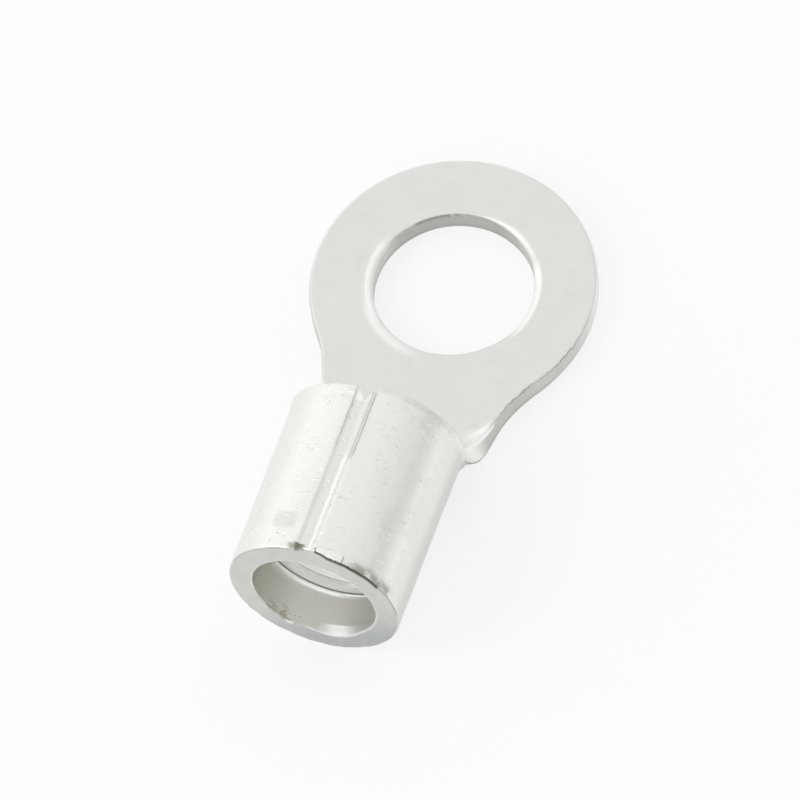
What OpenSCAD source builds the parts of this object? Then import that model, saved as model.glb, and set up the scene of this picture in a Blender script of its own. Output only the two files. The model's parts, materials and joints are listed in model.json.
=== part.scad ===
// Uninsulated ring terminal for a stranded copper conductor.
// One piece of copper sheet: stamped to a ring with a neck, rolled up into a barrel, brazed along the
// seam where the two rolled edges meet, and tinned. The origin is the centre of the stud hole on the
// tongue's underside, +Z is the stud's axis, and the barrel runs along -Y with its mouth at the far end.

/* [Sheet] */
// Thickness of the sheet that the whole terminal is made from
sheet_t = 2.0; // [1.4:0.1:2.4]

/* [Ring] */
// Diameter of the stud hole
stud_hole_d = 13.0; // [12:0.5:14]
// Width of the sheet around the stud hole
ring_rim = 5.1; // [4.6:0.1:6]
// Radius of the rolled-over edge that the punch leaves at the top of the stud hole
hole_roll_r = 0.35; // [0.15:0.05:0.6]

/* [Neck] */
// From the stud hole's centre to the barrel's inner end
hole_to_barrel = 17.6; // [16.5:0.1:22]
// Radius that blends each side of the ring into the neck
neck_blend_r = 11.6; // [8:0.1:14]
// Length over which the flat neck curls up into the round barrel
curl_len = 6.2; // [5:0.1:6.4]
// Half the angle that the sheet is curled through where the curl meets the barrel, in degrees
curl_reach = 86; // [70:1:88]
// How late the curl tightens: a higher number leaves the neck flat for longer
curl_delay = 2.0; // [1.9:0.1:2.4]

/* [Barrel] */
// Inner diameter of the barrel, which takes the conductor
bore_d = 10.4; // [9:0.1:11.6]
// Length of the barrel
barrel_len = 16.0; // [15.5:0.5:22]
// Depth of the widened entry at the mouth
entry_depth = 0.8; // [0.4:0.1:1.4]
// How much the widened entry adds to the bore's radius
entry_flare = 0.26; // [0.1:0.02:0.5]
// Radius of the barrel's outer edge at the mouth
lip_r = 0.25; // [0.1:0.05:0.5]

/* [Seam] */
// Width of the valley where the two rolled edges of the sheet meet
seam_w = 1.7; // [0.8:0.1:2.0]
// Depth of that valley
seam_depth = 0.3; // [0.15:0.05:0.5]
// Radius of the brazing bead that lies in the valley
bead_r = 0.35; // [0.2:0.05:0.5]
// How far the bead lies to the right of the valley's middle
bead_x = 0.35; // [-0.4:0.05:0.4]
// Radius of the sheet's corners where the seam runs out at the barrel's inner end
inner_corner_r = 0.9; // [0.4:0.1:1.4]
// Radius of the sheet's corners where the seam runs out at the mouth
mouth_corner_r = 0.6; // [0.2:0.1:1.0]

/* [Serrations] */
// Number of grip grooves pressed into the bore
groove_count = 4; // [2:1:4]
// Width of a groove at the bore
groove_w = 2.1; // [1.4:0.1:2.4]
// Depth of a groove at its far wall, where it is deepest
groove_depth = 0.5; // [0.3:0.05:0.7]
// Radius of the round that a groove's near edge falls away with
groove_edge_r = 0.6; // [0.3:0.05:0.8]
// Distance from one groove to the next
groove_pitch = 2.9; // [2.7:0.05:3]
// From the mouth to the first groove's near edge
groove_start = 3.35; // [2.5:0.05:3.6]

/* [Hidden] */
$fn = 96;

tinned = [0.87, 0.87, 0.85];
ring_r = stud_hole_d / 2 + ring_rim;
bore_r = bore_d / 2;
barrel_r = bore_r + sheet_t;
axis_z = barrel_r;                       // the barrel's lowest line is level with the tongue's underside
inner_end = -hole_to_barrel;
mouth = inner_end - barrel_len;
curl_start = inner_end + curl_len;
past = 1;                                // how far a cutter runs past the face it cuts
hair = 0.02;                             // keeps one solid's faces off another's
root = 0.6;                              // how deep the curl is set into the barrel's wall

// Centre of the blend circle, which meets the ring's edge and the neck's straight edge. It bites a hair
// into the ring, so that the two edges cross
bite = 0.004;
blend_x = barrel_r + neck_blend_r;
blend_y = -sqrt(max(1, pow(ring_r + neck_blend_r - bite, 2) - pow(blend_x, 2)));

curl_steps = 12;                         // sections along the curl
arc_steps = 24;                          // facets across the curl

// Half the width of the flat sheet at a place along the neck
function neck_half_w(y) = y > blend_y
    ? blend_x - sqrt(pow(neck_blend_r, 2) - pow(y - blend_y, 2))
    : barrel_r;

// Half the angle that the sheet is curled through, from flat at s = 0 to the barrel's own at s = 1
function curl_angle(s) = max(0.02, curl_reach * pow(s, curl_delay));

// A point on the curl's underside: s runs along the neck, u runs from the left edge (-1) to the right (1)
function curl_point(s, u) =
    let (a = curl_angle(s), y = curl_start - s * curl_len, w = neck_half_w(y))
    s == 0 ? [u * w, y, 0] : [w * sin(u * a) / sin(a), y, w * (1 - cos(u * a)) / sin(a)];

// The way the sheet's thickness points there: square to the sheet, and level with the barrel's end at s = 1
function curl_up(s, u) =
    let (
        e = 0.002,
        along = curl_point(min(1, s + e), u) - curl_point(max(0, s - e), u),
        across = curl_point(s, u + e) - curl_point(s, u - e),
        up = cross(along, across) / norm(cross(along, across)),
        faded = [up[0], up[1] * (1 - pow(s, 4)), up[2]])
    s == 0 ? [0, 0, 1] : faded / norm(faded);

// One curled section: the underside from left to right, then the top side back
function curl_section(s) =
    let (us = [for (i = [0 : arc_steps]) 2 * i / arc_steps - 1])
    concat(
        [for (u = us) curl_point(s, u)],
        [for (i = [arc_steps : -1 : 0]) curl_point(s, us[i]) + sheet_t * curl_up(s, us[i])]);

// The section that is set into the barrel's wall, a hair inside its two faces
function wall_section(y) =
    let (as = [for (i = [0 : arc_steps]) curl_reach * (2 * i / arc_steps - 1)])
    concat(
        [for (a = as) [(barrel_r - hair) * sin(a), y, axis_z - (barrel_r - hair) * cos(a)]],
        [for (i = [arc_steps : -1 : 0])
            [(bore_r + hair) * sin(as[i]), y, axis_z - (bore_r + hair) * cos(as[i])]]);

// The stretch of neck that curls from the flat tongue into the lower part of the barrel
module curl() {
    sections = concat(
        [for (i = [0 : curl_steps - 1]) curl_section(i / curl_steps)],
        [wall_section(inner_end), wall_section(inner_end - root)]);
    n = 2 * (arc_steps + 1);
    last = len(sections) - 1;
    strip = [for (j = [0 : arc_steps - 1]) [j, j + 1, n - 2 - j, n - 1 - j]];
    polyhedron(
        points = [for (section = sections) each section],
        faces = concat(
            strip,
            [for (k = [0 : last - 1]) for (j = [0 : n - 1]) let (m = (j + 1) % n)
                each [[k * n + j, (k + 1) * n + j, (k + 1) * n + m],
                      [k * n + j, (k + 1) * n + m, k * n + m]]],
            [for (q = strip) [for (j = [3 : -1 : 0]) last * n + q[j]]]));
}

// Stamped outline: the ring, and the neck that each side of it blends into
module tongue_outline() {
    meet = (ring_r - bite / 2) / (ring_r + neck_blend_r - bite);
    blend_end = max(blend_y, curl_start);
    intersection() {
        union() {
            circle(r = ring_r);
            difference() {
                polygon([
                    [0, 0], [meet * blend_x, meet * blend_y], [meet * blend_x, blend_end],
                    [-meet * blend_x, blend_end], [-meet * blend_x, meet * blend_y]]);
                for (side = [-1, 1]) translate([side * blend_x, blend_y]) circle(r = neck_blend_r);
            }
            if (blend_y > curl_start)
                translate([-barrel_r, curl_start]) square([2 * barrel_r, blend_y - curl_start + hair]);
        }
        translate([-2 * ring_r, curl_start]) square(4 * ring_r);
    }
}

// Cutter for the stud hole, with the rolled-over edge at its top
module stud_hole() {
    translate([0, 0, -past]) cylinder(d = stud_hole_d, h = sheet_t + 2 * past);
    translate([0, 0, sheet_t - hole_roll_r]) rotate_extrude() difference() {
        translate([stud_hole_d / 2 - hole_roll_r, 0]) square([2 * hole_roll_r, hole_roll_r + past]);
        translate([stud_hole_d / 2 + hole_roll_r, 0]) circle(r = hole_roll_r);
    }
}

// Profile of the cutter for one grip groove, a saw tooth: shallow at its round near edge, deep at its far wall
module groove() {
    difference() {
        polygon([
            [-past, 0],
            [0.8 * groove_depth, 0],
            [groove_depth, 0.9 * groove_w],
            [0, groove_w],
            [-past, groove_w]]);
        translate([groove_edge_r, 0]) circle(r = groove_edge_r);
    }
}

// The barrel's wall, turned about its axis: entry, outer lip and grip grooves, from the mouth inwards
module barrel_wall() {
    translate([0, mouth, axis_z]) rotate([-90, 0, 0]) rotate_extrude() difference() {
        translate([bore_r, 0]) square([sheet_t, barrel_len]);
        polygon([
            [bore_r - past, -past],
            [bore_r + entry_flare * (1 + past / entry_depth), -past],
            [bore_r - 0.1 * entry_flare, 1.1 * entry_depth],
            [bore_r - past, 1.1 * entry_depth]]);
        difference() {
            translate([barrel_r - lip_r, -past]) square([lip_r + past, past + lip_r]);
            translate([barrel_r - lip_r, lip_r]) circle(r = lip_r);
        }
        for (i = [0 : groove_count - 1])
            translate([bore_r, groove_start + i * groove_pitch]) groove();
    }
}

// Cutter for the valley along the top of the barrel
module seam_valley() {
    r = (pow(seam_w / 2, 2) + pow(seam_depth, 2)) / (2 * seam_depth);
    translate([0, mouth - past, axis_z + barrel_r - seam_depth + r])
        rotate([-90, 0, 0]) cylinder(r = r, h = barrel_len + 2 * past);
}

// Cutter that rounds the two corners of the sheet where the seam runs out at the end of the barrel
module seam_corners(r) {
    gap = 0.05;
    translate([0, 0, axis_z + bore_r / 2]) linear_extrude(height = barrel_r) difference() {
        translate([-r - gap, -r]) square([2 * (r + gap), r + past]);
        for (side = [-1, 1]) translate([side * (r + gap), -r]) circle(r = r);
    }
}

// Brazing bead along the bottom of the valley, set back from both ends
module seam_bead() {
    translate([bead_x, mouth + mouth_corner_r / 2, axis_z + barrel_r - bead_r])
        rotate([-90, 0, 0]) cylinder(r = bead_r, h = barrel_len - (mouth_corner_r + inner_corner_r) / 2);
}

module ring_terminal() {
    color(tinned) union() {
        difference() {
            union() {
                linear_extrude(height = sheet_t) tongue_outline();
                curl();
            }
            stud_hole();
        }
        difference() {
            barrel_wall();
            seam_valley();
            translate([0, inner_end, 0]) seam_corners(inner_corner_r);
            translate([0, mouth, 0]) mirror([0, 1, 0]) seam_corners(mouth_corner_r);
        }
        seam_bead();
    }
}

ring_terminal();
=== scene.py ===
import json
import math

import bpy
import numpy as np
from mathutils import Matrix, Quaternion, Vector


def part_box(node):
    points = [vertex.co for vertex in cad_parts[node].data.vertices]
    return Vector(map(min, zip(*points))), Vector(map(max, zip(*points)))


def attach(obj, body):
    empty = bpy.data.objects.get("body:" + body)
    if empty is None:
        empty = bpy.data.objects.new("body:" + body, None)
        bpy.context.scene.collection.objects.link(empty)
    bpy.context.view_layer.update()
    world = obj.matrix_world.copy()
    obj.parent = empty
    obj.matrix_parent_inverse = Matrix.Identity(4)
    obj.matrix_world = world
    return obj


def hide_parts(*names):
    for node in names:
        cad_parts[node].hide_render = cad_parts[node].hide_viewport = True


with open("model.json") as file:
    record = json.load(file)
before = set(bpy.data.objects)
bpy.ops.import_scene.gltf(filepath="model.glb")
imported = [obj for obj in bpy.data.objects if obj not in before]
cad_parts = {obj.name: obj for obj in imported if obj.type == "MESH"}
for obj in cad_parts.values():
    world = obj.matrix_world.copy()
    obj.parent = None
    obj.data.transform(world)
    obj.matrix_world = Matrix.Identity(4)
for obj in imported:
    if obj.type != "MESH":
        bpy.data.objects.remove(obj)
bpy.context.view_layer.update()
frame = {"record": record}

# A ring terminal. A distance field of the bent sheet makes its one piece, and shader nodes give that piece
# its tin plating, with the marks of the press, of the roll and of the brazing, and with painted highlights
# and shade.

MM = 0.001

# ---------------------------------------------------------------- sizes in millimetres, from the frame
mounts = {m["name"]: m for m in frame["record"]["mounts"]}
low, high = (np.array(v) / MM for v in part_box("ring_terminal"))
HOLE_R = mounts["stud_hole"]["dims"]["r_mm"]
BORE_R = mounts["wire_barrel"]["dims"]["r_mm"]
SHEET_T = mounts["top_face"]["pos_m"][2] / MM
AXIS_Z = mounts["wire_barrel"]["pos_m"][2] / MM
BARREL_R = BORE_R + SHEET_T
RING_R = float(high[1])
MOUTH_Y = float(low[1])

# ---------------------------------------------------------------- sizes of the scene's own, in millimetres
BARREL_LEN = 16.0
END_Y = MOUTH_Y + BARREL_LEN                 # the barrel's inner end
GROOVES = [3.35 + 2.9 * i for i in range(4)]      # the grip grooves' near edges, from the mouth
GROOVE_LEAD = 0.95                           # radius of a groove's round near edge
GROOVE_DEPTH = 0.26                          # at its near edge, and twice that at its far one
ENTRY_LEN = 0.9                              # over which the bore widens towards the mouth
SEAM_LEFT, SEAM_RIGHT = -1.02, 0.70          # the seam's edges at the mouth, as arcs from the top line
SEAM_DEPTH = 0.22                            # of the valley between them
BEAD_RISE = 0.235                            # of the brazing bead above that valley
RIM_RISE = 0.11                              # how far the hole's left rim is pushed up
RIM_R = 0.26                                 # edge radius of the rest of the rim
MOUTH_OUTER_R, MOUTH_BORE_R = 0.16, 0.07     # edge radii of the mouth, outside and inside
UNDER_R = 0.12                               # least edge radius of the underside

NECK_R = 11.6                                # blend from the ring to the neck's straight edge
CURL_LEN = 8.0                               # over which the flat neck's sides turn up
CURL_REACH = math.radians(80)                # how far they have turned up at the barrel's end
CURL_POWER = 1.65                            # how late they do so
WING_FLARE = 0.18                            # how far the turned-up sides stand out past the barrel
WING_LEAN = 0.34                             # how much of the turn the straight part leaves out
ROOT_FILLET = 0.7                            # where the neck's side edge turns up into the barrel's end

BLEND_X = BARREL_R + NECK_R                  # the blend's centre
BLEND_Y = -math.sqrt((RING_R + NECK_R) ** 2 - BLEND_X ** 2)
BLEND_ANGLE = math.atan2(-BLEND_Y, -BLEND_X)  # where the blend meets the ring, seen from that centre

STEP = 0.13           # width of the grid cells that the mesh is made from


# ---------------------------------------------------------------- smooth noise, the same on every run
def lattice(seed, ix, iy, iz):
    """A fixed number from -1 to 1 for each grid point."""
    h = (ix * 374761393 + iy * 668265263 + iz * 2147483647 + seed * 1442695041) & 0xFFFFFFFF
    h = ((h ^ (h >> 13)) * 1274126177) & 0xFFFFFFFF
    h = h ^ (h >> 16)
    return (h & 0xFFFF) / 32767.5 - 1.0


def noise(x, y, z, size, seed):
    """Value noise from -1 to 1 with features of that size."""
    x, y, z = x / size, y / size, z / size
    fx, fy, fz = np.floor(x), np.floor(y), np.floor(z)
    ix, iy, iz = (f.astype(np.int64) for f in (fx, fy, fz))
    u, v, w = ((t * t * t * (t * (t * 6 - 15) + 10)) for t in (x - fx, y - fy, z - fz))
    out = 0
    for dx in (0, 1):
        for dy in (0, 1):
            for dz in (0, 1):
                weight = (u if dx else 1 - u) * (v if dy else 1 - v) * (w if dz else 1 - w)
                out = out + weight * lattice(seed, ix + dx, iy + dy, iz + dz)
    return out


# ---------------------------------------------------------------- tools for distance fields
def smooth(a, b, t):
    """Goes smoothly from 0 where t is a to 1 where t is b."""
    t = np.clip((t - a) / (b - a), 0, 1)
    return t * t * (3 - 2 * t)


def bell(t, width):
    """1 where t is 0, falling away to both sides."""
    return np.exp(-(t / width) ** 2)


def round_meet(a, b, r):
    """Where two solids are cut by each other, the edge between them rounded to radius r."""
    return np.minimum(np.maximum(a, b), -r) + np.hypot(np.maximum(a + r, 0), np.maximum(b + r, 0))


def round_join(a, b, r):
    """Where two solids join, the inner corner between them filled to radius r."""
    return np.maximum(np.minimum(a, b), r) - np.hypot(np.maximum(r - a, 0), np.maximum(r - b, 0))


# ---------------------------------------------------------------- the bent sheet
def outline(x, y):
    """Distance to the stamped outline of ring and neck, negative inside."""
    ax = np.abs(x)
    vx, vy = ax - BLEND_X, y - BLEND_Y
    ring = np.hypot(ax, y) - RING_R
    blend = NECK_R - np.hypot(vx, vy)
    strip = ax - BARREL_R
    on_ring = (np.arctan2(vy, vx) < BLEND_ANGLE) & (vy > 0)
    out = np.where(vy <= 0, strip, blend)
    return np.where(on_ring, ring, out)


def bent_sheet(x, y, z):
    """Height above the sheet's outer side, distance to its outline, and distance from the bend's axis."""
    ax = np.abs(x)
    from_end = y - END_Y
    # Flat in the middle, its two sides turned up to the barrel's radius through an angle
    s = np.clip(1 - from_end / CURL_LEN, 0, 2)
    angle = np.minimum(CURL_REACH * s ** CURL_POWER, math.pi / 2)
    turn = CURL_REACH * CURL_POWER * s ** (CURL_POWER - 1) / CURL_LEN
    flared = WING_FLARE * smooth(0.2, 1.6, from_end) * smooth(7.5, 3.5, from_end)
    width = BLEND_X - np.sqrt(np.maximum(NECK_R ** 2 - np.maximum(y - BLEND_Y, 0) ** 2, 1)) + flared
    # Past the barrel's end the last of each side stays straight, leaning out where its bend stops
    lean = WING_LEAN * smooth(0.4, 1.0, from_end)
    bend = angle * (1 - lean)
    run = BARREL_R * (np.cos(bend) - np.cos(angle)) / np.maximum(np.sin(bend), 1e-3)
    flat = np.where(s > 0, np.maximum(width - BARREL_R * np.sin(bend) - run * np.cos(bend), 0), 1e3)
    dx, dz = ax - flat, BARREL_R - z
    from_axis = np.maximum(np.hypot(dx, dz), 1e-6)
    beyond = dx * np.cos(bend) - dz * np.sin(bend)
    height = np.where(dx > 0, BARREL_R - from_axis, z)
    straight = (beyond > 0) & (dx > 0) & (from_end > 0.4)
    height = np.where(straight, BARREL_R - dx * np.sin(bend) - dz * np.cos(bend), height)
    # The bend changes along the curl, so there the plain height overstates the distance
    slope = np.where(dx > 0, dx / from_axis, 0) * BARREL_R * np.cos(bend) * turn * (1 - lean) * (s > 0)
    height = height / np.sqrt(1 + slope ** 2)
    side = np.where(s > 0, outline(width - flared + (beyond - run), y), outline(ax, y))
    return height, side, from_axis


# ---------------------------------------------------------------- relief, in millimetres
def seam_relief(depth, arc):
    """The seam's shallow valley, with the brazing bead against its right-hand side."""
    along = np.clip(depth / BARREL_LEN, 0, 1)
    left = SEAM_LEFT + 0.1 * along
    right = SEAM_RIGHT + 0.06 * along
    soft = smooth(10.0, 8.5, depth)          # 1 in the half by the mouth, where the seam is blunter
    valley = SEAM_DEPTH * smooth(left - 0.12, left + 0.3, arc) \
        * smooth(right + 0.05 + 0.12 * soft, right - 0.1 - 0.25 * soft, arc)
    bead = (BEAD_RISE - 0.08 * soft) * bell(arc - right + 0.36 + 0.08 * soft, 0.2)
    return bead - valley


def bruise_relief(depth, arc):
    """Beside the seam at the mouth the barrel bulges, with a dent behind the bulge."""
    bulge = 0.10 * bell(arc + 2.6, 1.5) * bell(depth, 1.0)
    dent = 0.05 * bell(arc + 1.9, 0.9) * bell(depth - 2.4, 0.7)
    return bulge - dent


def rolled_relief(x, y, z):
    """A rolled barrel's slight unevenness. The lower half is set in, so that none of it lies below 0."""
    uneven = 0.014 * noise(x, y, z, 2.3, 11) + 0.006 * noise(x * 0.6, y, z, 0.8, 12)
    return uneven - 0.012 * smooth(AXIS_Z, 0, z)


def bore_relief(depth, low_arc):
    """What the bore lacks: its entry widens at the foot, and four saw-toothed grooves grip the wire."""
    widened = 0.02 + 0.36 * smooth(-1.6, 1.6, low_arc) * smooth(6.2, 2.2, low_arc)
    lost = widened * np.clip((ENTRY_LEN - depth) / ENTRY_LEN, 0, 1) ** 1.2
    for start in GROOVES:
        g = depth - start
        lead = GROOVE_LEAD - np.sqrt(np.clip(GROOVE_LEAD ** 2 - g ** 2, 0, 1))
        ground = GROOVE_DEPTH * (1 + np.clip((g - 0.65) / 1.25, 0, 1))
        tooth = np.where(g < GROOVE_LEAD, np.minimum(lead, ground), ground) * smooth(2.14, 1.94, g)
        lost = lost + np.where(g > 0, tooth, 0)
    return lost


def rim_relief(x, y, from_hole):
    """The hole's rim: how far it is pushed up on its left, and its edge's radius, large on its right."""
    angle = np.degrees(np.arctan2(y, x)) % 360
    on_left = smooth(140, 175, angle) * smooth(300, 250, angle)
    pushed_up = RIM_RISE * bell(from_hole - 0.42, 0.3) * on_left
    on_right = np.where(angle > 180, smooth(300, 345, angle), smooth(95, 55, angle))
    far_side = smooth(90, 110, angle) * smooth(160, 140, angle)
    return pushed_up, RIM_R + 0.42 * on_right - 0.1 * far_side


# ---------------------------------------------------------------- edges of the sheet
def outer_edge(x, y, side, arc, upper):
    """The stamped outline, joined to the barrel's inner end, with the corners beside the seam rounded."""
    corners = np.clip(1.0 - np.abs(arc + 0.1), 0, 1) ** 1.7 * upper
    reach = 0.34 * smooth(0.6, 2.2, arc) * (x > 0)
    return round_join(side, y - END_Y + corners - reach, ROOT_FILLET)


def mouth_edge(x, y, z, arc, wall, upper):
    """The barrel's near end: drawn in at the seam, with a crevice, a nick and chips from the shears."""
    drawn_in = 0.4 * wall * bell(arc - 0.1, 1.15) * upper
    # The crevice leaves a sheared lip standing along the outer edge, from the seam round to the right
    crevice = 0.2 * bell(wall - 0.92, 0.05) * smooth(0.5, 1.2, arc) * smooth(10.5, 5.0, arc) * upper
    nick = 0.32 * bell(arc + 0.62, 0.32) * smooth(0.7, 1.0, wall) * upper
    chips = 0.04 * noise(x, y * 0.3, z, 1.7, 31) + 0.03 * noise(x, y * 0.3, z, 0.6, 32)
    return MOUTH_Y + 0.07 + drawn_in + crevice + nick + chips - y


# ---------------------------------------------------------------- the terminal's shape as a distance field
def fields(x, y, z):
    """Distances to the faces of the sheet, negative inside it, and where on the part each point lies."""
    upper = np.where(z > AXIS_Z, 1, 0)
    depth = y - MOUTH_Y                                 # into the barrel from the mouth
    arc = np.arctan2(x, z - AXIS_Z) * BARREL_R          # from the barrel's top line, to the right
    low_arc = np.arctan2(x, AXIS_Z - z) * BARREL_R      # from its lowest line, to the right
    in_barrel = smooth(END_Y + 0.5, END_Y - 0.5, y)
    height, side, from_axis = bent_sheet(x, y, z)
    wall = np.clip((from_axis - BORE_R) / SHEET_T, 0, 1)        # 0 at the bore, 1 at the outer side
    from_hole = np.hypot(x, y) - HOLE_R
    pushed_up, rim_r = rim_relief(x, y, from_hole)
    skin = upper * (seam_relief(depth, arc) + bruise_relief(depth, arc)) + rolled_relief(x, y, z)
    on_curl = smooth(-12.5, -14.5, y) * smooth(AXIS_Z + 1, AXIS_Z - 1, z)
    return {
        "under": -height - skin * in_barrel,
        "over": height - SHEET_T + bore_relief(depth, low_arc) * in_barrel - pushed_up,
        "edge": outer_edge(x, y, side, arc, upper),
        "mouth": mouth_edge(x, y, z, arc, wall, upper),
        "hole": -from_hole,
        # Radii of the edges between them, larger round the ring and above the curl
        "under_r": UNDER_R + 0.4 * smooth(-8.0, -4.0, y),
        "over_r": 0.2 + 0.1 * smooth(-9.0, -5.0, y) + 0.35 * on_curl,
        "rim_r": rim_r,
        # Where on the part
        "in_barrel": in_barrel, "arc": arc, "depth": depth, "wall": wall, "from_hole": from_hole,
        "side": side,
    }


def shape(x, y, z):
    """Distance to the surface, negative inside: the sheet's two faces, cut off by its edges."""
    f = fields(x, y, z)
    corners = (("under", "edge", f["under_r"]), ("over", "edge", f["over_r"]),
               ("under", "mouth", MOUTH_OUTER_R), ("over", "mouth", MOUTH_BORE_R),
               ("under", "hole", UNDER_R), ("over", "hole", f["rim_r"]))
    return np.maximum.reduce([round_meet(f[face], f[cut], r) for face, cut, r in corners])


# ---------------------------------------------------------------- surface mesh of a distance field
def surface_nets(f, lo, hi, step):
    """One vertex in each grid cell that the surface passes through, joined into quads."""
    counts = np.ceil((hi - lo) / step).astype(int) + 1
    axes = [lo[i] + step * np.arange(counts[i]) for i in range(3)]
    values = np.empty(counts)
    slab = 12                                # slices of the grid worked out at a time, to save memory
    for i in range(0, counts[0], slab):
        grid = np.meshgrid(axes[0][i:i + slab], axes[1], axes[2], indexing="ij")
        values[i:i + slab] = f(*grid)
    cells = counts - 1
    stride = np.array([cells[1] * cells[2], cells[2], 1])
    ids, points, quads = [], [], []
    for d in range(3):
        first = [slice(None)] * 3
        second = [slice(None)] * 3
        first[d], second[d] = slice(0, -1), slice(1, None)
        va, vb = values[tuple(first)], values[tuple(second)]
        at = np.argwhere((va < 0) != (vb < 0))
        a, b = va[tuple(at.T)], vb[tuple(at.T)]
        where = at.astype(float)
        where[:, d] += a / (a - b)
        e, g = (d + 1) % 3, (d + 2) % 3
        ring = []
        for de, dg in ((0, 0), (1, 0), (1, 1), (0, 1)):
            cell = at.copy()
            cell[:, e] -= de
            cell[:, g] -= dg
            ring.append(cell @ stride)
        ring = np.stack(ring, 1)
        flip = a >= 0
        ring[flip] = ring[flip][:, ::-1]
        quads.append(ring)
        ids.append(ring.reshape(-1))
        points.append(np.repeat(where, 4, axis=0))
    ids, points, quads = np.concatenate(ids), np.concatenate(points), np.concatenate(quads)
    unique, index = np.unique(ids, return_inverse=True)
    total = np.bincount(index)
    verts = np.stack([np.bincount(index, points[:, i]) / total for i in range(3)], 1)
    quads = np.searchsorted(unique, quads)
    return lo + verts * step, quads


def gradient(f, p, eps=0.01):
    out = np.empty_like(p)
    for i in range(3):
        ahead, behind = p.copy(), p.copy()
        ahead[:, i] += eps
        behind[:, i] -= eps
        out[:, i] = (f(*ahead.T) - f(*behind.T)) / (2 * eps)
    return out


def onto_surface(f, p, rounds=2):
    """Moves points along the gradient until they lie on the surface."""
    for _ in range(rounds):
        g = gradient(f, p)
        step = f(*p.T) / np.maximum((g * g).sum(1), 0.05)
        p = p - g * np.clip(step, -0.1, 0.1)[:, None]
    return p


def relaxed(f, p, quads, rounds=2):
    """Evens out the spacing of the vertices without leaving the surface."""
    a = np.concatenate([quads[:, i] for i in range(4)] + [quads[:, (i + 1) % 4] for i in range(4)])
    b = np.concatenate([quads[:, (i + 1) % 4] for i in range(4)] + [quads[:, i] for i in range(4)])
    total = np.bincount(a, minlength=len(p))
    for _ in range(rounds):
        mean = np.stack([np.bincount(a, p[b, i], minlength=len(p)) / total for i in range(3)], 1)
        g = gradient(f, p)
        g /= np.linalg.norm(g, axis=1, keepdims=True) + 1e-9
        move = 0.5 * (mean - p)
        move -= g * (move * g).sum(1, keepdims=True)
        p = onto_surface(f, p + move, 1)
    return p


def guides(p):
    """What the finish needs to know at each vertex: which kind of face it is on, and where."""
    x, y, z = p.T
    f = fields(x, y, z)
    trim = np.maximum(np.maximum(f["edge"], f["mouth"]), f["hole"])
    faces = np.maximum(f["under"], f["over"])
    from_end = y - END_Y
    turned_up = 3.2 * np.clip(1 - from_end / 6.4, 0, 1)       # how much of the neck's side stands up
    return {
        "cut": smooth(-0.14, -0.03, trim) * smooth(0.0, -0.16, faces),
        "barrel": f["in_barrel"],
        "inside": smooth(-0.2, -0.02, f["over"]) * f["in_barrel"],
        "upper": smooth(AXIS_Z - 4, AXIS_Z, z) * f["in_barrel"],
        "arc": f["arc"],
        "depth": f["depth"],
        "wall": f["wall"],
        "rim": f["from_hole"],
        "side": f["side"],
        "over": f["over"],
        "wing": smooth(-turned_up - 0.4, -turned_up + 0.4, f["side"]) * smooth(-0.65, -0.4, f["over"])
        * smooth(-0.1, 0.5, from_end) * smooth(6.8, 5.8, from_end),
    }


def mesh_of(name, f, lo, hi, step):
    """An object with the surface of f, in metres, with smooth normals and its guides."""
    verts, quads = surface_nets(f, lo, hi, step)
    verts = onto_surface(f, verts)
    verts = relaxed(f, verts, quads)
    verts = onto_surface(f, verts)
    normals = gradient(f, verts)
    normals /= np.linalg.norm(normals, axis=1, keepdims=True) + 1e-9
    mesh = bpy.data.meshes.new(name)
    mesh.vertices.add(len(verts))
    mesh.vertices.foreach_set("co", (verts * MM).astype(np.float32).reshape(-1))
    mesh.loops.add(quads.size)
    mesh.loops.foreach_set("vertex_index", quads.reshape(-1).astype(np.int32))
    mesh.polygons.add(len(quads))
    mesh.polygons.foreach_set("loop_start", np.arange(0, quads.size, 4, dtype=np.int32))
    mesh.polygons.foreach_set("use_smooth", np.ones(len(quads), bool))
    mesh.update(calc_edges=True)
    mesh.validate()
    mesh.normals_split_custom_set_from_vertices(normals.tolist())
    for key, values in guides(verts).items():
        layer = mesh.attributes.new(key, "FLOAT", "POINT")
        layer.data.foreach_set("value", values.astype(np.float32))
    piece = bpy.data.objects.new(name, mesh)
    bpy.context.scene.collection.objects.link(piece)
    return piece


pad = 3 * STEP
terminal = mesh_of("terminal_body", shape, low - pad, high + pad, STEP)
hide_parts("ring_terminal")
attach(terminal, "root")


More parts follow.
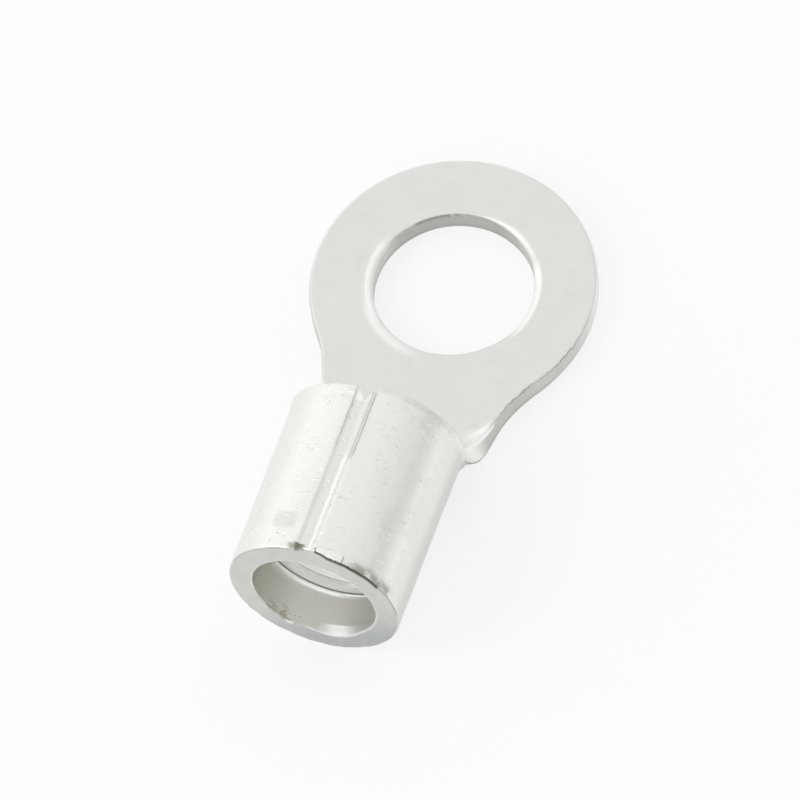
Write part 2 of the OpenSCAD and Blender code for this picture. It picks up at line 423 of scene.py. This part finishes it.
# ---------------------------------------------------------------- shader nodes
class Graph:
    """Builds a node tree. Wherever a value is wanted, an output of another node may stand instead."""

    def __init__(self, tree):
        self.tree = tree

    def put(self, socket, value):
        if isinstance(value, bpy.types.NodeSocket):
            self.tree.links.new(value, socket)
        else:
            socket.default_value = value

    def add(self, kind, inputs=None, **settings):
        node = self.tree.nodes.new(kind)
        for key, value in settings.items():
            setattr(node, key, value)
        for key, value in (inputs or {}).items():
            self.put(node.inputs[key], value)
        return node

    def math(self, operation, first, *others):
        for other in others:
            first = self.add("ShaderNodeMath", {0: first, 1: other}, operation=operation).outputs[0]
        return first

    def times(self, *values):
        return self.math("MULTIPLY", *values)

    def plus(self, *values):
        return self.math("ADD", *values)

    def minus(self, first, second):
        return self.math("SUBTRACT", first, second)

    def most(self, *values):
        return self.math("MAXIMUM", *values)

    def ramp(self, value, start, end, low=0.0, high=1.0):
        """Goes smoothly from low at start to high at end."""
        node = self.add("ShaderNodeMapRange", {0: value, 1: start, 2: end, 3: low, 4: high},
                        interpolation_type="SMOOTHSTEP")
        return node.outputs[0]

    def band(self, value, start, end, soft):
        """1 between start and end, 0 outside, with an edge as wide as soft."""
        rise = self.ramp(value, start - soft, start)
        fall = self.ramp(value, end, end + soft, 1.0, 0.0)
        return self.times(rise, fall)

    def mix(self, factor, a, b, blend="MIX"):
        node = self.add("ShaderNodeMix", data_type="RGBA", blend_type=blend)
        for socket, value in ((node.inputs[0], factor), (node.inputs[6], a), (node.inputs[7], b)):
            self.put(socket, value)
        return node.outputs[2]

    def attribute(self, name):
        return self.add("ShaderNodeAttribute", attribute_name=name).outputs["Fac"]

    def stretched(self, vector, scale):
        return self.add("ShaderNodeVectorMath", {0: vector, 1: scale}, operation="MULTIPLY").outputs[0]

    def noise(self, vector, scale, detail=2.0, roughness=0.5):
        """Noise from 0 to 1 whose features are smaller the larger the scale."""
        node = self.add("ShaderNodeTexNoise", {"Vector": self.stretched(vector, scale), "Scale": 1.0,
                                               "Detail": detail, "Roughness": roughness})
        return node.outputs["Fac"]


def node_material(name, kind=Graph):
    mat = bpy.data.materials.new(name)
    mat.use_nodes = True
    return mat, kind(mat.node_tree), mat.node_tree.nodes["Principled BSDF"]


# ---------------------------------------------------------------- tin plating, with its marks
BRIGHT_TIN_AND_HIGHLIGHT = (1, 1, 0.985)                       # light flecks of tin, and painted highlights
WARM_HIGHLIGHT = (1, 1, 0.98)                   # painted light deep in the bore, and painted highlights on the grooves' edges and the brazing bead


class Plating(Graph):
    """The tin's nodes: masks from the mesh's guides, and a colour that is painted over in layers."""

    def __init__(self, tree):
        super().__init__(tree)
        self.colour = None
        self.cut, self.barrel, self.inside, self.upper, self.wing = (
            self.attribute(name) for name in ("cut", "barrel", "inside", "upper", "wing"))
        self.arc, self.depth, self.wall, self.rim, self.side, self.over = (
            self.attribute(name) for name in ("arc", "depth", "wall", "rim", "side", "over"))
        metres = self.add("ShaderNodeTexCoord").outputs["Object"]
        place = self.stretched(metres, (1 / MM, 1 / MM, 1 / MM))
        self.x, self.y, self.z = self.add("ShaderNodeSeparateXYZ", {0: place}).outputs

        # Soft patches, finer mottling, short marks that run round the barrel, and specks
        self.patches = self.noise(place, (0.35, 0.35, 0.35), 3.0)
        self.mottle = self.noise(place, (1.1, 1.6, 1.1), 4.0, 0.6)
        self.marks = self.noise(place, (0.85, 2.7, 0.85), 2.5, 0.65)
        self.specks = self.noise(place, (3.5, 4.5, 3.5), 1.0)
        self.waver = self.times(self.minus(self.mottle, 0.5), 0.35)

        # Parts of the surface
        self.lower = self.minus(1.0, self.upper)
        outside = self.times(self.barrel, self.ramp(self.over, -0.5, -0.9), self.minus(1.0, self.cut))
        self.top_side = self.times(outside, self.upper)
        self.ring_wall = self.ramp(self.rim, 3.5, 4.5)

        # Light and dark flecks, most of them on the worn top of the barrel and none on the wings
        worn = self.times(self.top_side, self.ramp(self.patches, 0.42, 0.58),
                          self.band(self.arc, -5.5, 6.5, 2.5))
        few = self.times(self.plus(0.08, self.times(worn, 0.92)), self.minus(1.0, self.wing))
        self.light = self.times(self.ramp(self.marks, 0.60, 0.66), few)
        self.dark = self.times(self.ramp(self.marks, 0.36, 0.30), few)
        self.pits = self.times(self.ramp(self.specks, 0.70, 0.76), few)

    def paint(self, colour, *masks, blend="MIX"):
        """Lays a colour over the ones before it, as strongly as the product of the masks."""
        self.colour = self.mix(self.times(*masks), self.colour, (*colour, 1), blend)


def base_tone(g):
    """Ring and barrel, with painted shade down the barrel's sides and a painted highlight beside its top
    line.
    """
    g.colour = g.mix(g.barrel, (0.83, 0.838, 0.815, 1), (0.925, 0.93, 0.90, 1))
    around = g.plus(g.arc, g.times(g.minus(g.patches, 0.5), 2.5), g.times(g.minus(g.mottle, 0.5), 1.5))
    # Painted shade down the barrel's sides
    flank_shade = g.most(g.plus(g.ramp(around, 7.0, 8.4, 0.0, 0.33), g.ramp(g.arc, 9.2, 11.4, 0.0, 0.6)),
                    g.times(g.band(around, 5.8, 6.6, 2.0), 0.19),
                    g.ramp(around, -4.4, -6.4, 0.0, 0.2))
    g.paint((0.66, 0.67, 0.645), g.top_side, flank_shade)
    # Painted shade low on the right, where the barrel's inner half turns away
    low_right_shade = g.times(g.ramp(g.arc, 11.9, 13.0), g.ramp(g.over, -1.4, -1.7), g.ramp(g.x, 0.0, 2.0),
                      g.ramp(g.depth, 8.0, 14.5), g.ramp(g.depth, 19.5, 17.5))
    g.paint((0.50, 0.51, 0.48), low_right_shade, 0.75)
    # Painted highlight beside the barrel's top line
    crown_highlight = g.most(g.band(around, 1.2, 4.9, 0.6), g.band(around, -4.0, -1.6, 0.6))
    g.paint((0.99, 0.99, 0.965), g.top_side, crown_highlight, 0.45)
    # Painted shade in the dent beside the seam, behind the bulge at the mouth
    dent_shade = g.times(g.band(around, -3.5, -2.0, 0.6), g.band(g.depth, 2.4, 3.3, 0.6))
    g.paint((0.68, 0.69, 0.67), g.top_side, dent_shade, 0.45)
    # Painted highlight on the turned-up wings
    g.paint(BRIGHT_TIN_AND_HIGHLIGHT, g.wing)
    g.paint((0.95, 0.95, 0.94), g.ramp(g.patches, 0.35, 0.65), 0.35, blend="MULTIPLY")
    g.paint((0.93, 0.93, 0.915), g.ramp(g.mottle, 0.5, 0.75), 0.5, blend="MULTIPLY")
    g.paint((0.955, 0.955, 0.915), g.inside)


def cut_faces(g):
    """Sheared faces are duller, most of all the foot of the mouth and the neck. The hole's far wall and
    the underside edge by the root carry painted shade, the ring's outer wall and the wing root's facet
    painted light, and the wings a painted highlight.
    """
    plated = g.colour
    g.colour = g.mix(g.mottle, (0.56, 0.57, 0.545, 1), (0.70, 0.71, 0.68, 1))
    mouth_foot = g.minus(g.times(g.x, 0.4), g.minus(g.z, AXIS_Z))
    g.paint((0.47, 0.49, 0.49), g.ramp(g.depth, 2.0, 1.0), g.ramp(mouth_foot, 1.0, 6.5))
    # Painted shade on the hole's far wall
    far_wall_shade = g.times(g.ramp(g.rim, 0.8, 0.4), g.ramp(g.y, 1.0, 4.0), g.ramp(g.x, 5.6, -0.5))
    g.paint((0.47, 0.48, 0.455), far_wall_shade)
    neck = g.band(g.depth, 18.6, 25.5, 1.5)
    g.paint((0.50, 0.51, 0.485), neck, 0.35)
    # Painted shade along the underside edge by the neck
    under_edge_shade = g.times(g.ramp(g.depth, 17.5, 19.0), g.ramp(g.over, -1.2, -1.9))
    g.paint((0.36, 0.37, 0.35), under_edge_shade, 0.5)
    # Painted light on the ring's outer wall, growing towards its far end
    g.paint((0.93, 0.94, 0.92), g.ring_wall, g.ramp(g.y, -4.5, 2.5), 0.8)
    # Painted light on the cut facet where the wing turns up into the barrel
    wing_root_light = g.times(g.ramp(g.depth, 21.0, 18.6), g.ramp(g.depth, 15.9, 16.2))
    g.paint((0.93, 0.94, 0.91), wing_root_light, g.ramp(g.over, -2.0, -1.7))
    g.colour = g.mix(g.cut, plated, g.colour)
    # Painted highlight on the turned-up wings
    g.paint(BRIGHT_TIN_AND_HIGHLIGHT, g.wing)


def ring_marks(g):
    """Painted highlights on the hole's rim where it was pushed up or rolled over. Its far edge has a dark
    mottled line.
    """
    flat_top = g.times(g.ramp(g.over, -0.5, -0.3), g.ramp(g.depth, 18.0, 20.0))
    # Painted highlights on the rim's left, near and right sides
    left = g.times(g.band(g.rim, 0.12, 0.5, 0.2), g.ramp(g.x, -3.2, -5.8), g.ramp(g.y, 3.2, 1.4))
    near = g.times(g.band(g.rim, 0.2, 0.8, 0.4), g.ramp(g.x, 0.5, -3.5), g.ramp(g.y, -3.0, -4.6), 0.6)
    right = g.times(g.band(g.rim, 0.1, 0.55, 0.2), g.ramp(g.x, 4.6, 5.8), g.band(g.y, -2.2, 2.6, 1.8))
    g.paint(BRIGHT_TIN_AND_HIGHLIGHT, g.most(left, near, right), flat_top)
    # A dark mottled line along the hole's far edge
    far_edge_line = g.times(g.band(g.rim, -0.15, 0.02, 0.06), g.band(g.x, -4.9, -1.9, 0.5), g.ramp(g.y, 3.4, 4.2))
    g.paint((0.30, 0.31, 0.25), far_edge_line, g.ramp(g.mottle, 0.36, 0.5), g.ramp(g.over, -0.5, -0.3), 0.75)
    # A thin broken dark line along the top of the outline, on the right
    ragged = g.plus(g.minus(g.over, g.side), g.times(g.minus(g.mottle, 0.5), 0.9))
    on_right = g.times(g.ramp(g.depth, 20.8, 22.5), g.ramp(g.x, 4.0, 6.0), g.ramp(g.y, 1.0, -2.0))
    broken = g.ramp(g.patches, 0.35, 0.5, 0.35, 1.0)
    top_edge_line = g.times(g.band(ragged, -0.1, 0.0, 0.05), g.ring_wall, g.ramp(g.over, -1.0, -0.7))
    g.paint((0.36, 0.37, 0.34), top_edge_line, on_right, broken, 0.8)


def bore_marks(g):
    """The bore, with painted shade on its left side, its lip painted darker, painted light deep inside,
    and grime where the wire is pushed in. Returns the lip's mask.
    """
    # Painted shade on the bore's left side, near the mouth
    g.paint((0.70, 0.71, 0.62), g.inside, g.ramp(g.x, -2.0, -4.6), g.ramp(g.depth, 3.4, 2.8), 0.7)
    entry = g.times(g.ramp(g.depth, 1.2, 0.8), g.ramp(g.wall, 0.3, 0.15), g.lower)
    g.paint((0.42, 0.42, 0.33), entry, g.band(g.x, -3.9, -3.0, 0.5), g.ramp(g.mottle, 0.42, 0.55), 0.6)
    g.paint((1.0, 0.99, 0.90), entry, g.band(g.x, -2.7, -1.8, 0.3), g.ramp(g.marks, 0.40, 0.50), 0.9)
    g.paint((0.30, 0.30, 0.22), entry, g.band(g.x, -3.9, -1.9, 0.3), g.ramp(g.specks, 0.58, 0.70), 0.35)
    # The lip at the foot of the mouth, painted darker to dim its highlight: painted shade
    lip = g.times(g.ramp(g.depth, 0.9, 0.6), g.ramp(g.wall, 0.4, 0.2), g.lower, g.inside,
                  g.ramp(g.x, -1.6, 1.4))
    g.paint((0.77, 0.775, 0.755), lip)
    # Painted light deep in the bore, past the first groove
    g.paint(WARM_HIGHLIGHT, g.inside, g.ramp(g.depth, 3.9, 4.4))
    bore_edge = g.times(g.ramp(g.depth, 0.22, 0.12), g.ramp(g.wall, 0.10, 0.03), g.ramp(g.x, 1.6, 0.2))
    g.paint((0.35, 0.35, 0.30), bore_edge, g.lower, g.ramp(g.mottle, 0.3, 0.5), 0.85)
    return lip


def groove_marks(g):
    """Each groove's two edges carry a painted highlight, with a painted shadow behind the near one.
    Returns the highlit edges.
    """
    highlit_edges = 0.0
    for start in GROOVES:
        near_edge = g.band(g.depth, start + 0.1, start + 0.62, 0.08)
        far_edge = g.band(g.depth, start + 1.92, start + 2.14, 0.05)
        highlit_edges = g.plus(highlit_edges, near_edge, far_edge)
        # Painted shadow behind the near edge
        g.paint((0.18, 0.18, 0.14), g.inside, g.band(g.depth, start + 0.7, start + 0.82, 0.06), 0.85)
    highlit_edges = g.times(highlit_edges, g.inside)
    # Painted highlights on the grooves' edges
    g.paint(WARM_HIGHLIGHT, highlit_edges)
    return highlit_edges


def flecks(g):
    """Light flecks, duller ones, and small dark pits."""
    g.paint(BRIGHT_TIN_AND_HIGHLIGHT, g.light, 0.9)
    g.paint((0.66, 0.67, 0.64), g.dark, 0.4)
    g.paint((0.55, 0.55, 0.52), g.pits, 0.5)


def seam_marks(g):
    """Dark lines along the seam's edges, a dull valley between them, and painted highlights on the bead by
    the mouth and at the notch by the barrel's inner end.
    """
    from_right = g.plus(g.minus(g.arc, g.plus(SEAM_RIGHT, g.times(g.depth, 0.004))), g.waver)
    from_left = g.plus(g.minus(g.arc, g.plus(SEAM_LEFT, g.times(g.depth, 0.006))), g.waver)
    valley = g.times(g.ramp(from_left, 0.0, 0.2), g.ramp(from_right, -0.55, -0.75))
    g.paint((0.80, 0.81, 0.80), g.top_side, valley, 0.5)
    right_strength = g.ramp(g.depth, 8.0, 13.5, 0.2, 0.5)
    left_strength = g.ramp(g.depth, 9.0, 12.0, 0.15, 0.62)
    for distance, strength in ((from_right, right_strength), (from_left, left_strength)):
        g.paint((0.48, 0.48, 0.45), g.top_side, g.band(distance, 0.02, 0.05, 0.07), strength)
    # Painted highlight on the brazing bead, near the mouth
    bead = g.band(from_right, -0.6, -0.3, 0.12)
    g.paint(WARM_HIGHLIGHT, g.top_side, bead, g.ramp(g.depth, 10.2, 9.2))
    # Painted highlight at the notch beside the seam, by the barrel's inner end
    notch_highlight = g.times(g.band(g.arc, -0.8, -0.15, 0.1), g.ramp(g.depth, 14.6, 14.9))
    g.paint((1, 1, 0.99), g.upper, notch_highlight)


def mouth_marks(g):
    """The mouth's face: painted shade in the crevice right of the seam, in thin lines along its outer edge
    and in the nick, and a dark mottled line at the foot.
    """
    face = g.times(g.ramp(g.depth, 0.9, 0.75), g.upper)
    # Painted shade in the crevice right of the seam
    crevice_shade = g.times(g.band(g.wall, 0.875, 0.94, 0.05), g.band(g.arc, 0.72, 6.8, 0.3))
    g.paint((0.12, 0.12, 0.085), face, crevice_shade, 0.95)
    # Painted shade in thin lines along the face's outer edge, on both sides
    right_edge_shade = g.times(g.band(g.wall, 0.92, 0.94, 0.03), g.band(g.arc, 6.8, 10.5, 0.8))
    left_edge_shade = g.times(g.band(g.wall, 0.93, 0.97, 0.03), g.band(g.arc, -8.0, -2.2, 1.0), 0.6)
    g.paint((0.3, 0.3, 0.27), face, g.most(right_edge_shade, left_edge_shade), 0.65)
    # Painted shade inside the nick
    nick = g.band(g.plus(g.arc, g.times(g.waver, 2.5)), -0.9, -0.45, 0.3)
    g.paint((0.17, 0.17, 0.13), face, nick, g.ramp(g.wall, 0.70, 0.92), 0.93)
    # A dark mottled line along the foot's outer edge
    foot = g.times(g.ramp(g.depth, 0.45, 0.3), g.lower, g.ramp(g.wall, 0.88, 0.94))
    g.paint((0.25, 0.26, 0.24), foot, g.ramp(g.mottle, 0.40, 0.52), 0.6)


def barrel_end_marks(g):
    """On the barrel's outside at the mouth, a painted highlight on the lip at the edge, and dark smears.
    At its other end a dark speckled band runs along the edge."""
    # Painted highlight on the lip that stands at the mouth's edge
    lip_highlight = g.times(g.band(g.arc, 0.95, 2.85, 0.1), g.ramp(g.depth, 0.85, 0.7))
    g.paint((1, 1, 0.975), g.top_side, lip_highlight)
    tick = g.times(g.band(g.arc, 2.98, 3.04, 0.05), g.ramp(g.depth, 0.95, 0.7))
    g.paint((0.35, 0.35, 0.32), g.top_side, tick, 0.8)
    right_smear = g.times(g.band(g.arc, 4.2, 7.8, 0.9), g.ramp(g.depth, 1.25, 0.4),
                          g.ramp(g.mottle, 0.32, 0.52))
    left_smear = g.times(g.band(g.arc, -1.5, -0.4, 0.4), g.ramp(g.depth, 0.9, 0.4),
                         g.ramp(g.mottle, 0.4, 0.6))
    g.paint((0.30, 0.305, 0.25), g.top_side, g.most(right_smear, left_smear), 0.75)
    # A dark speckled band along the barrel's inner end
    far_end_band = g.times(g.band(g.arc, 3.2, 8.6, 0.5), g.ramp(g.plus(g.depth, g.waver), 15.75, 16.0))
    g.paint((0.38, 0.39, 0.35), g.top_side, far_end_band, g.ramp(g.specks, 0.44, 0.52), 0.75)


def tin_plating():
    mat, g, shader = node_material("tinned_copper", Plating)
    base_tone(g)
    cut_faces(g)
    ring_marks(g)
    lip = bore_marks(g)
    highlit_edges = groove_marks(g)
    flecks(g)
    seam_marks(g)
    mouth_marks(g)
    barrel_end_marks(g)
    g.put(shader.inputs["Base Color"], g.colour)
    shader.inputs["Metallic"].default_value = 1.0

    # Cut faces, the bore, its lip and the hole's right side are rougher, and the grooves' highlit edges
    # are smoother
    rough = g.plus(0.26, g.times(g.mottle, 0.14), g.times(g.most(g.cut, g.inside), 0.1))
    rough = g.minus(rough, g.times(highlit_edges, 0.22))
    rolled_rim = g.times(g.ramp(g.rim, 0.9, 0.4), g.ramp(g.x, 0.0, 2.0))
    g.put(shader.inputs["Roughness"], g.plus(rough, g.times(rolled_rim, 0.22), g.times(lip, 0.16)))

    # Light flecks stand up, dark ones and pits are pressed in, and the wings are smooth
    height = g.plus(g.times(g.mottle, 0.5), g.times(g.minus(g.light, g.dark), 0.8))
    bump = g.add("ShaderNodeBump", {"Height": g.minus(height, g.pits), "Distance": 0.04 * MM,
                                    "Strength": g.ramp(g.wing, 0.0, 1.0, 1.0, 0.0)})
    g.put(shader.inputs["Normal"], bump.outputs[0])
    return mat


terminal.data.materials.append(tin_plating())


# ---------------------------------------------------------------- floor
FLOOR_SIZE = 4.0
FLOOR_GAP = 0.02 * MM                        # keeps the floor and the flat underside out of one plane
FLOOR_WHITE = 0.75                           # how much of the seen floor is plain white


def floor_material():
    """To the camera, and in the metal, the floor is mostly plain white. The rest keeps the soft shadow."""
    mat, g, shader = node_material("floor")
    shader.inputs["Base Color"].default_value = (0.96, 0.96, 0.96, 1)
    shader.inputs["Roughness"].default_value = 1.0
    shader.inputs["Specular IOR Level"].default_value = 0.0
    path = g.add("ShaderNodeLightPath").outputs
    seen = g.most(path["Is Camera Ray"], path["Is Glossy Ray"], path["Is Transmission Ray"])
    white = g.add("ShaderNodeEmission", {"Color": (1, 1, 1, 1), "Strength": 1.0})
    shown = g.add("ShaderNodeMixShader", {0: g.times(seen, FLOOR_WHITE), 1: shader.outputs[0],
                                          2: white.outputs[0]})
    g.put(g.tree.nodes["Material Output"].inputs["Surface"], shown.outputs[0])
    return mat


bpy.ops.mesh.primitive_plane_add(size=FLOOR_SIZE, location=(0, 0, -FLOOR_GAP))
floor = bpy.context.object
floor.name = "floor"
floor.data.materials.append(floor_material())


# ---------------------------------------------------------------- light
ROOM_LIGHT = 0.88                            # strength of the white studio all round
ROOM_TILT = 0.2                              # how much brighter it is on the left, and duller on the right


def studio():
    world = bpy.data.worlds.new("studio")
    world.use_nodes = True
    g = Graph(world.node_tree)
    background = world.node_tree.nodes["Background"]
    background.inputs["Color"].default_value = (1, 1, 0.992, 1)
    towards = g.add("ShaderNodeSeparateXYZ", {0: g.add("ShaderNodeTexCoord").outputs["Generated"]}).outputs
    level = g.minus(1.0, g.times(towards["Z"], towards["Z"]))
    g.put(background.inputs["Strength"], g.minus(ROOM_LIGHT, g.times(towards["X"], level, ROOM_TILT)))
    return world


def softbox(name, direction, distance, size, watts):
    light = bpy.data.lights.new(name, "AREA")
    light.shape = "DISK"
    light.size = size
    light.energy = watts
    lamp = bpy.data.objects.new(name, light)
    lamp.location = Vector(direction).normalized() * distance
    lamp.rotation_euler = Vector(direction).to_track_quat("Z", "Y").to_euler()
    bpy.context.scene.collection.objects.link(lamp)


bpy.context.scene.world = studio()
softbox("key", (-0.62, -0.5, 0.6), 0.4, 0.22, 0.28)

# ---------------------------------------------------------------- camera
# The photograph's view: turned round the part from its right-hand side, raised off the floor, and rolled
VIEW_TURN, VIEW_RISE, VIEW_ROLL = (math.radians(v) for v in (-62.71, 58.86, -10.05))
VIEW_CENTRE = Vector((-1.86, -9.06, -2.36)) * MM      # what lies in the middle of the picture
VIEW_WIDTH = 64.07 * MM
CAMERA_DISTANCE = 300 * MM

back = Vector((math.cos(VIEW_TURN) * math.cos(VIEW_RISE), math.sin(VIEW_TURN) * math.cos(VIEW_RISE),
               math.sin(VIEW_RISE)))
lens = bpy.data.cameras.new("camera")
lens.type = "ORTHO"
lens.ortho_scale = VIEW_WIDTH
camera = bpy.data.objects.new("camera", lens)
camera.location = VIEW_CENTRE + CAMERA_DISTANCE * back
camera.rotation_euler = (back.to_track_quat("Z", "Y") @ Quaternion((0, 0, 1), VIEW_ROLL)).to_euler()
bpy.context.scene.collection.objects.link(camera)
bpy.context.scene.camera = camera

bpy.context.scene.view_settings.view_transform = "Standard"
